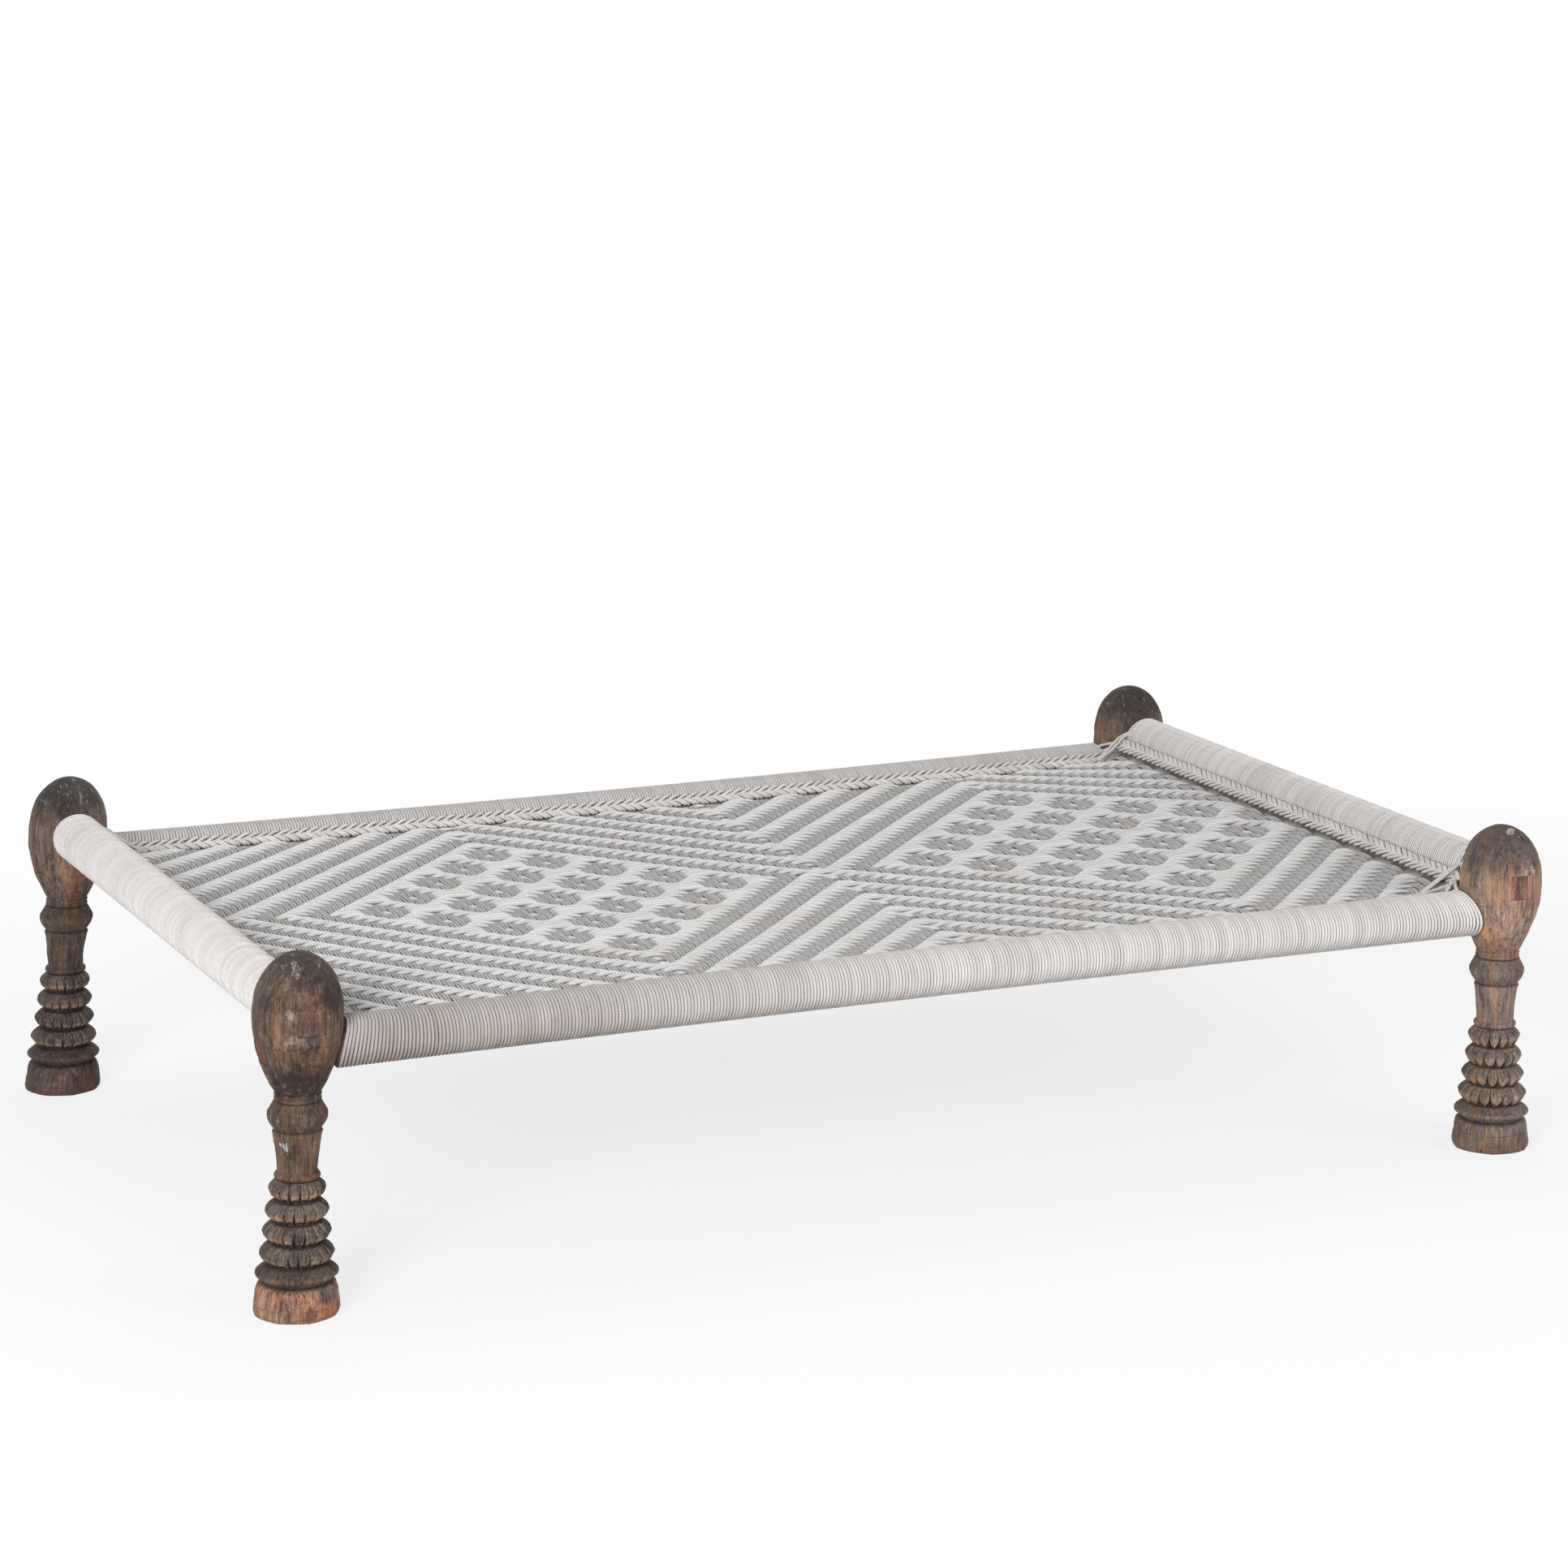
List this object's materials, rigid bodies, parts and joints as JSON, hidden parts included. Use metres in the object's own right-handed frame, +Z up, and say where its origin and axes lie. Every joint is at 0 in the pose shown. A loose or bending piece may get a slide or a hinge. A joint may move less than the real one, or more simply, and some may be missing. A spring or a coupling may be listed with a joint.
{
  "type": "charpai bed",
  "caption": "Low rope-strung bed with turned wooden legs, pole rails wound with cotton cord and a twill-woven cord panel inside braided edges.",
  "frame": {"origin": "on the floor, under the middle of the outer box", "axes": "+X along the bed, +Y across it to the rear side rail, +Z up"},
  "size_m": [1.8352, 1.1556, 0.45],
  "materials": {
    "leg_wood": "old turned hardwood, bare and weathered",
    "pole_wood": "bare pole, tenon ends worn",
    "rail_cord": "twisted off-white cotton cord, close wound",
    "panel_cord": "twisted off-white cotton cord, woven",
    "edge_cord": "twisted off-white cotton cord, twined"
  },
  "bodies": {
    "root": {"leg_front_left": "leg_wood", "leg_front_right": "leg_wood", "leg_rear_left": "leg_wood", "leg_rear_right": "leg_wood", "corner_lashing_front_left": "edge_cord", "corner_lashing_front_right": "edge_cord", "corner_lashing_rear_left": "edge_cord", "corner_lashing_rear_right": "edge_cord", "side_rail_front": "pole_wood", "side_rail_front_winding": "rail_cord", "side_rail_front_edge_braid": "edge_cord", "side_rail_front_turns_left": "rail_cord", "side_rail_front_turns_right": "rail_cord", "side_rail_rear": "pole_wood", "side_rail_rear_winding": "rail_cord", "side_rail_rear_edge_braid": "edge_cord", "side_rail_rear_turns_left": "rail_cord", "side_rail_rear_turns_right": "rail_cord", "end_rail_left": "pole_wood", "end_rail_left_winding": "rail_cord", "end_rail_left_edge_braid": "edge_cord", "end_rail_left_turns_front": "rail_cord", "end_rail_left_turns_rear": "rail_cord", "end_rail_right": "pole_wood", "end_rail_right_winding": "rail_cord", "end_rail_right_edge_braid": "edge_cord", "end_rail_right_turns_front": "rail_cord", "end_rail_right_turns_rear": "rail_cord", "woven_panel": "panel_cord"}
  },
  "joints": []
}
